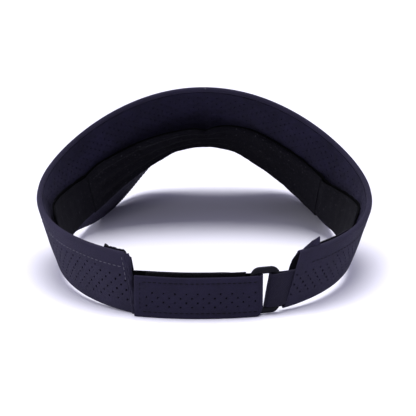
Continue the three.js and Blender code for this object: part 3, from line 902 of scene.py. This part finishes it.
tail_angles = np.concatenate([np.linspace(PAD_END - 0.5, TAIL_END - 6, 60),
                              np.linspace(TAIL_END - 5.8, TAIL_END, 34)])
for side, sign in (("left", -1.0), ("right", 1.0)):
    angles = np.sort(sign * tail_angles)
    rings = np.array([tail_ring(angle) for angle in angles])
    uv = uv_grid(length_at(angles), np.arange(rings.shape[1]) * 1.3)
    tail = make_object(f"sweatband_tail_cloth_{side}", rings.reshape(-1, 3), rod_faces(*rings.shape[:2]), uv,
                       SWEAT_CLOTH, sharp=50)
    declare_sheet(tail, f"sweatband_tail_{side}", "crown")


def crevice_shadow_strip(angle, v):
    """A thin near-black strip just behind the sweatband's top roll: a painted shadow of the crevice between
    the sweatband and the lining.
    """
    inside = 1 - smooth(np.abs(angle), PAD_END - 1, PAD_END + 1)
    top = 24.98 * (1 + (pad_dip(angle) - 1) * inside) - tail_corner(angle)[0]
    high = 0.95 + 0.3 * waves(angle * 2, 0, 55, 11) + 0.9 * bump(angle, 55, 3)
    depth = np.where(np.abs(angle) < PAD_END, 0.5, 0.2)
    return sweat_point(angle, top - 2.2 + v * (2.2 + np.maximum(high, 0.5)), depth)


# Painted shadow: the near-black strip below stands for the dark crevice along the sweatband's upper edge.
beside = np.linspace(PAD_END, TAIL_END - 0.4, 90)
crevice_angles = np.concatenate([-beside[::-1], np.linspace(-PAD_END + 0.5, PAD_END - 0.5, 160), beside])
tape = grid_sheet("sweatband_crevice_shadow", crevice_shadow_strip, crevice_angles, np.linspace(0, 1, 5), 0.4, BLACK_CLOTH_AND_SHADE)
declare_sheet(tape, None, "crown")

# A row of small stitches holds the sweatband's fold, a little under its upper edge.
SEWN_ROW = 29.5  # place in the pad's section, about 21.5 mm up
angles = np.linspace(-PAD_END + 2, -3, 400)
sewn_line = cover_surface(angles, np.full(len(angles), SEWN_ROW))
stitch_row("sweatband_stitches", sewn_line, -outward(angles), DIM_THREAD, pitch=2.1, length=1.1, radius=0.15,
           lift=0.3)

# ---- The strap ----

STRAP_CENTRE = np.array([-2.5, 18.2])
FLAP_RADIUS, RUN_RADIUS = 111.2, 106.6
FOLD_X = 24.2
FLAP_Z, RUN_Z, NECK_Z = (0.0, 18.9), (1.6, 20.1), (3.6, 19.0)
FREE_END = -31.2
FOLD_MIDDLE = (RUN_RADIUS + FLAP_RADIUS) / 2
FOLD_TILT = math.asin((FOLD_X - STRAP_CENTRE[0]) / FOLD_MIDDLE)
LOOP_RADIUS, HOOK_RADIUS = 108.05, 109.5
END_STITCH, EDGE_STITCH = 2.7, 2.5  # the flap's topstitching, in from its free end and from its edges


def arc(radius, x):
    """Plan point at x on an arc about the strap's centre."""
    x = np.asarray(x, float)
    return np.stack([x, STRAP_CENTRE[1] - np.sqrt(radius**2 - (x - STRAP_CENTRE[0]) ** 2)], -1)


def on_strap(x, z, out, radius):
    """Point at x and z on the strap, out from its arc."""
    x, z, out = np.broadcast_arrays(*(np.asarray(v, float) for v in (x, z, out)))
    plan = arc(radius, x)
    away = unit(plan - STRAP_CENTRE)
    return np.concatenate([plan + away * out[..., None], z[..., None]], -1)


FLAP_HALF = 0.5  # from the flap's middle to the middle of either cloth
FLAP_RIGHT = STRAP_CENTRE[0] + FLAP_RADIUS * math.sin(FOLD_TILT)
FLAP_TURN = math.pi * FLAP_HALF  # length of the turn round either edge
FLAP_BACK = 8.85  # how far the cloth comes in over the back from either edge
FLAP_PLAIN = 3.2  # the punched pattern stops this far from either edge


def flap_surface(x, s):
    """The flap is a tube of cloth pressed flat. s runs up the front, and round both edges to the back."""
    bottom, top = FLAP_Z
    r = FLAP_HALF
    turn_top = np.clip((s - (top - r)) / r, 0, math.pi)
    over = np.maximum(s - (top - r) - FLAP_TURN, 0)
    turn_low = np.clip(((bottom + r) - s) / r, 0, math.pi)
    below = np.maximum((bottom + r) - s - FLAP_TURN, 0)
    z = np.clip(s, bottom + r, top - r) + r * np.sin(turn_top) - r * np.sin(turn_low) - over + below
    out = np.where(s > top - r, r * np.cos(turn_top), np.where(s < bottom + r, r * np.cos(turn_low), r))
    front = (s > bottom + r) & (s < top - r)
    share = (z - bottom) / (top - bottom)
    sewn = bump(z, top - EDGE_STITCH, 0.55) + bump(z, bottom + EDGE_STITCH, 0.55)
    sewn = sewn + bump(x, FREE_END + END_STITCH, 0.6)
    puff = 0.16 * np.sin(np.clip(share, 0, 1) * math.pi) ** 0.5
    puff = puff + 0.12 * waves(x, z, 71, 16) + 0.05 * waves(x, z, 72, 6)
    out = out + np.where(front, puff - 0.2 * np.minimum(sewn, 1), 0)
    right_end = 1 - 0.25 * smooth(x, FLAP_RIGHT - 1, FLAP_RIGHT)
    pressed = 0.32 + 0.68 * smooth(x, FREE_END, FREE_END + 0.9) * right_end
    sag = 0.35 * np.sin((x - FREE_END) / (FLAP_RIGHT - FREE_END) * math.pi)
    ease = 0.18 * waves(x, 0, 73, 30)
    return on_strap(x, z - sag * 0.3 + ease * share, out * pressed, FLAP_RADIUS)


flap_us = [FREE_END, FREE_END + 0.4, FREE_END + 0.9]
flap_us += list(np.arange(FREE_END + 1.9, FLAP_RIGHT - 0.6, COLUMN)) + [FLAP_RIGHT]
margin = [FLAP_PLAIN, EDGE_STITCH, 1.8]
low_rows = margin + [FLAP_HALF - FLAP_TURN * k / 6 for k in range(7)]
low_rows += [FLAP_HALF - FLAP_TURN - FLAP_BACK * k / 6 for k in range(1, 7)]
flap = punched_sheet("strap_flap_cloth", flap_surface, flap_us, 0.5, STRAP_CLOTH, lambda u: low_rows,
                     lambda u: [FLAP_Z[1] - v for v in low_rows], first=0.35, row=2.05, hole=0.44,
                     punch=lambda u, v: FREE_END + 4.2 < u < FLAP_RIGHT - 1.0)
declare_sheet(flap, "strap_flap", "flap")

core_xs = np.linspace(FREE_END + 1.2, FLAP_RIGHT - 0.8, 30)
core = grid_sheet("strap_flap_interlining", lambda u, v: on_strap(u, v, -0.05, FLAP_RADIUS), core_xs,
                  np.linspace(1.1, FLAP_Z[1] - 1.1, 8), 0.25, BLACK_CLOTH_AND_SHADE)
declare_sheet(core, None, "flap")


def flap_stitches(edge, xs, zs, pitch, length):
    xs, zs = np.broadcast_arrays(xs, zs)
    plan = unit(arc(FLAP_RADIUS, xs) - STRAP_CENTRE)
    out = np.concatenate([plan, np.zeros((len(xs), 1))], -1)
    stitch_row(f"flap_stitches_{edge}", flap_surface(xs, zs), out, DARK_THREAD, pitch, length, lift=0.3,
               body="flap")


xs = np.linspace(FREE_END + END_STITCH, FLAP_RIGHT - 0.4, 160)
flap_stitches("upper", xs, FLAP_Z[1] - EDGE_STITCH, 2.4, 1.7)
flap_stitches("lower", xs, EDGE_STITCH, 2.4, 1.7)
zs = np.linspace(EDGE_STITCH, FLAP_Z[1] - EDGE_STITCH, 60)
flap_stitches("end", FREE_END + END_STITCH, zs, 2.2, 1.5)


def in_band(angle, z):
    """Plan point in the middle of the band's thickness at a height."""
    t = (z - lower_height(angle)) / (upper_height(angle) - lower_height(angle))
    return band(angle, t, 0.0)[..., :2]


def strap_plan(z):
    """The inner run's line at a height, from inside the left tab to the ring."""
    stops = [in_band(np.array(float(a)), z) for a in (-146, -150, -154, -157.2)]
    xs = np.linspace(-25, STRAP_CENTRE[0] + RUN_RADIUS * math.sin(FOLD_TILT), 40)
    return np.concatenate([np.array(stops), arc(RUN_RADIUS, xs)])


def ribbon(name, plan_of, z_range, thickness, material, rows=10, resample=120, wobble=0.0, seed=80):
    """A flat strap on edge. plan_of(z) gives its line, and z_range(share) its edges."""
    shares = np.linspace(0, 1, resample)
    low, high = np.array([z_range(share) for share in shares]).T
    grid = []
    for j in range(rows + 1):
        zs = low + (high - low) * j / rows
        plan = plan_of(float(np.mean(zs)))
        s = run_along(plan)
        lengths = shares * s[-1]
        grid.append(np.stack([np.interp(lengths, s, plan[:, 0]), np.interp(lengths, s, plan[:, 1]), zs], -1))
    points = np.stack(grid, 1)
    if wobble:
        d = wobble * waves(lengths[:, None], np.arange(rows + 1)[None, :] * 2.0, seed, 9)
        flat = unit(np.gradient(points[..., :2], axis=0))
        points[..., 0] += -flat[..., 1] * d
        points[..., 1] += flat[..., 0] * d
    uv = np.stack([np.repeat(lengths[:, None], rows + 1, 1), points[..., 2]], -1).reshape(-1, 2)
    faces = grid_faces(resample, rows + 1)
    return make_object(name, *thicken(points.reshape(-1, 3), faces, uv, thickness), material)


def between(first, last, share):
    return [a + (b - a) * share for a, b in zip(first, last)]


def run_width(share):
    return between(RUN_Z, NECK_Z, smooth(share, 0.78, 0.97))


run = ribbon("strap_run_cloth", strap_plan, run_width, 0.8, BLACK_CLOTH_AND_SHADE, wobble=0.08)
declare_sheet(run, "strap_run", "crown")

fold_centre = arc(FOLD_MIDDLE, FOLD_X)
fold_radius = (FLAP_RADIUS - RUN_RADIUS) / 2


def fold_plan(_):
    turn = FOLD_TILT + math.pi / 2 - 0.02 - (math.pi - 0.04) * np.linspace(0, 1, 40)
    return fold_centre + fold_radius * np.stack([np.cos(turn), np.sin(turn)], -1)


def fold_width(share):
    return between(NECK_Z, (FLAP_Z[0] + 0.3, FLAP_Z[1] - 0.3), smooth(share, 0.62, 1.0))


fold = ribbon("strap_fold_cloth", fold_plan, fold_width, 0.8, STRAP_CLOTH, resample=48)
declare_sheet(fold, "strap_fold", None)  # rides on no body; its place is baked below


def loop_pile(x_range, z_range, thickness, pile):
    """The loop tape, a closed body with a rough pile."""
    cell = 0.55
    nx, nz = (int((high - low) / cell) for low, high in (x_range, z_range))
    x, z = np.meshgrid(np.linspace(*x_range, nx), np.linspace(*z_range, nz), indexing="ij")
    r = np.random.default_rng(91)
    rough = pile * (r.random(x.shape) - 0.4)
    edge = 0.3 * pile * (r.random(x.shape) - 0.5)
    front = on_strap(x + edge, z + 2.2 * edge, thickness / 2 + rough, LOOP_RADIUS)
    back = on_strap(x, z, -thickness / 2, LOOP_RADIUS)
    points = np.concatenate([front.reshape(-1, 3), back.reshape(-1, 3)])
    uv = np.stack([x, z], -1).reshape(-1, 2)
    return points, shell_faces(grid_faces(nx, nz), nx * nz), np.concatenate([uv, uv])


loop = make_object("loop_tape_pile", *loop_pile((-26, 19), (2.4, 20.2), 1.1, 0.5), PILE, sharp=60)
declare_sheet(loop, "loop_tape", "crown")


def hook_points():
    """The hook tape's backing with its small hooks, which face the loops."""
    x, z = np.meshgrid(np.linspace(-30, -4, 24), np.linspace(1.4, 17.4, 14), indexing="ij")
    points = [p for out in (0.55, 0.1) for p in on_strap(x, z, out, HOOK_RADIUS).reshape(-1, 3)]
    faces = shell_faces(grid_faces(*x.shape), x.size)
    for i, hx in enumerate(np.arange(-29, -4.8, 1.25)):
        for k, hz in enumerate(np.arange(2.3, 16.8, 1.25)):
            lean = 0.16 if (i + k) % 2 else -0.16
            line = [(0, 0.15), (0, -0.12), (lean * 0.5, -0.3), (lean * 1.6, -0.38), (lean * 2.6, -0.28)]
            faces += rod_faces(len(line), 4, len(points), flip=True)
            for n, (dz, out) in enumerate(line):
                tip = n >= 3
                r = 0.11 if tip else 0.14
                for m in range(4):
                    t = math.pi / 4 + math.pi * m / 2
                    up = hz + dz + r * math.sin(t) * (0.6 if tip else 1)
                    off = out + (0.08 * math.sin(t) if tip else 0)
                    points.append(on_strap(hx + r * math.cos(t), up, off, HOOK_RADIUS))
    return np.array(points), faces


points, faces = hook_points()
hooks = make_object("hook_tape_hooks", points, faces, points[:, [0, 2]], HOOKS, sharp=50)
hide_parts("hook_tape")
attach(hooks, "flap")

# ---- The ring and its keeper ----

RING_Z = (0.3, 22.3)
left_bar = arc(FOLD_MIDDLE, 22.5)
right_bar = np.array([33.3, -84.4])
ring_way = unit(right_bar - left_bar)
ring_width = np.linalg.norm(right_bar - left_bar)
ring_across = np.array([-ring_way[1], ring_way[0]])


ring_middle = (left_bar + right_bar) / 2
RING_BAR, RING_RAIL, RING_DEPTH = 2.7, 3.2, 2.1  # widths of its upright bars and of its rails, and its depth
RING_SIDES = 16


def rounded_path(width, tall, radius):
    """Points and outward directions round a rectangle with round corners."""
    path, out = [], []
    corners = ((1, -1), (1, 1), (-1, 1), (-1, -1))
    arc_steps, side_steps = 10, 7
    for n, (cx, cz) in enumerate(corners):
        for k in range(arc_steps + 1):
            a = math.radians(90 * (n - 1) + 90 * k / arc_steps)
            out.append((math.cos(a), math.sin(a)))
            centre = (cx * (width / 2 - radius), cz * (tall / 2 - radius))
            path.append((centre[0] + radius * out[-1][0], centre[1] + radius * out[-1][1]))
        nx, nz = corners[(n + 1) % 4]
        last = path[-1]
        after = (nx * (width / 2 - radius * (cx != nx)), nz * (tall / 2 - radius * (cz != nz)))
        for k in range(1, side_steps):
            path.append(between(last, after, k / side_steps))
            out.append(out[-1])
    return np.array(path), np.array(out)


def ring_section(place, out):
    """Points round the ring's section at a place on its path: a rounded rectangle."""
    (px, pz), (ox, oz) = place, out
    half = (RING_BAR * abs(ox) + RING_RAIL * abs(oz)) / (abs(ox) + abs(oz)) / 2
    points = []
    for k in range(RING_SIDES):
        a = 2 * math.pi * k / RING_SIDES
        c, s = (math.copysign(abs(v) ** 0.62, v) for v in (math.cos(a), math.sin(a)))
        plan = ring_middle + ring_way * (px + ox * half * c) + ring_across * (RING_DEPTH / 2 * s)
        points.append((*plan, sum(RING_Z) / 2 + pz + oz * half * c))
    return points


ring_path = rounded_path(ring_width, RING_Z[1] - RING_Z[0] - RING_RAIL, 2.7)
sections = [ring_section(*at) for at in zip(*ring_path)]
points = np.array(sections).reshape(-1, 3)
faces = grid_faces(len(sections), RING_SIDES, close=True)
seam = (len(sections) - 1) * RING_SIDES
for j in range(RING_SIDES):
    k = (j + 1) % RING_SIDES
    faces.append((seam + j, j, k, seam + k))
ring = make_object("ring_frame", points, faces, points[:, [0, 2]], RING_PLASTIC, sharp=60)
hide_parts("ring")
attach(ring, "ring")

KEEPER_Z = (3.6, 18.9)


def keeper_plan(z):
    """Round the ring's right bar and back inside the right tab, both thicknesses of the webbing."""
    lean = 2.7 * (1 - (z - KEEPER_Z[0]) / (KEEPER_Z[1] - KEEPER_Z[0])) - 1.7
    half = 1.95  # of the loop's width
    apart = 0.48  # each thickness, from the middle of the tab

    def by_bar(along, across):
        return right_bar + ring_way * along + ring_across * across

    tab = [in_band(np.array(float(a)), z) for a in (152, 149, 146)]
    inner_tab = [p + ring_across * apart for p in tab[::-1]]
    inner = [by_bar(3.0, 0.5), by_bar(1.2, half), by_bar(-1.0, half)]
    turn = np.linspace(math.pi / 2, 1.5 * math.pi, 14)
    round_bar = [by_bar(half * math.cos(t) - 3.1 - lean, half * math.sin(t)) for t in turn]
    outer = [by_bar(-1.0, -half), by_bar(1.2, 0.2 - half), by_bar(3.0, -0.55)]
    outer_tab = [p - ring_across * apart for p in tab]
    line = np.array(inner_tab + inner + round_bar + outer + outer_tab)
    for _ in range(2):
        line[1:-1] = (line[:-2] + 2 * line[1:-1] + line[2:]) / 4
    return line


keeper = ribbon("ring_keeper_webbing", keeper_plan, lambda share: KEEPER_Z, 0.85, WEB_CLOTH, rows=24,
                resample=150, wobble=0.05, seed=85)
declare_sheet(keeper, "ring_keeper", "crown")

# ---- Topstitching on the crown ----


def crown_stitches(name, angles, rise, material, **how):
    """Stitches over the outer cloth, at a share of its height for each angle."""
    line = outer_surface(length_at(angles), rise * height(angles))
    stitch_row(name, line, outward(angles, rise), material, **how)


# The crown's topstitching is one row of thread, but its left part takes the lighter thread and the front and
# right the dark one: painted light from the left.
for part, start, end, count, material, skip in (
    ("left", -154.6, -22, 900, LIT_SIDE_THREAD, 0.04),
    ("front", -22, 22, 300, DARK_THREAD, 0.0),
    ("right", 22, 147, 900, DARK_THREAD, 0.0),
):
    angles = np.linspace(start, end, count)
    crown_stitches(f"crown_stitches_{part}", angles, 1 - TOPSTITCH / height(angles), material, skip=skip)
crown_stitches("tab_stitches_left_end", np.full(60, -154.7), np.linspace(0.97, 0.52, 60), LIT_SIDE_THREAD, pitch=2.3,
               length=1.4)

# ---- The strap's fold: its place is baked into its mesh ----

along_fold = 2.0 * np.array([math.sin(FOLD_TILT), -math.cos(FOLD_TILT)])
start = np.append(fold_centre - along_fold, 10.0)
end = np.append(fold_centre + along_fold, 10.0)
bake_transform(fold)

# ---- Floor, light and camera ----

FLOOR_HALF = 12.0  # metres
floor_mesh = bpy.data.meshes.new("floor")
corners = [(x * FLOOR_HALF, y * FLOOR_HALF, 0) for x, y in ((-1, -1), (1, -1), (1, 1), (-1, 1))]
floor_mesh.from_pydata(corners, [], [(0, 1, 2, 3)])
floor = link_object("floor", floor_mesh)
floor.location.z = -0.0002  # just under the table's height, so that it doesn't meet the CAD
n = Nodes("floor_paper")
place = n.add("ShaderNodeTexCoord").outputs["Object"]
tone = n.ramp(n.noise(place, 3.0, 2.0), [(0.3, (0.82, 0.815, 0.89)), (0.7, (0.84, 0.835, 0.905))])
n.link(tone, n.shader.inputs["Base Color"])
n.shade(Roughness=0.95, Specular_IOR_Level=0.1)
floor_mesh.materials.append(n.material)

world = bpy.data.worlds.new("studio")
bpy.context.scene.world = world
world.use_nodes = True
sky = world.node_tree.nodes["Background"].inputs
sky["Color"].default_value = (0.72, 0.69, 1.0, 1)
sky["Strength"].default_value = 0.43


def turned_to(direction):
    return Vector(direction).to_track_quat("-Z", "Y").to_euler()


def area_light(name, place, aim, size, power):
    data = bpy.data.lights.new(name, "AREA")
    data.shape = "DISK"
    data.size = size
    data.energy = power
    light = link_object(name, data)
    light.location = place
    light.rotation_euler = turned_to(Vector(aim) - Vector(place))


sun = bpy.data.lights.new("overhead", "SUN")
sun.energy = 3.25
sun.angle = math.radians(42)
link_object("overhead", sun).rotation_euler = turned_to((0.03, -0.15, -0.99))
area_light("behind_camera", (-0.4, -1.3, 0.5), (0, -0.02, 0.04), 0.7, 4)
area_light("low_left", (-1.3, -0.45, 0.4), (-0.1, -0.1, 0), 0.6, 6.5)
area_light("low_right", (1.3, -0.35, 0.4), (0.1, -0.1, 0), 0.6, 2.5)

lens = bpy.data.cameras.new("camera")
lens.sensor_width = 36
lens.lens = 116.9
lens.clip_start = 0.01
camera = link_object("camera", lens)
camera.location = (0.00402, -0.6996, 0.20096)
camera.rotation_euler = turned_to((-0.00323, 0.96884, -0.25142))
bpy.context.scene.camera = camera

bpy.context.scene.view_settings.view_transform = "Standard"
bpy.context.scene.view_settings.look = "None"
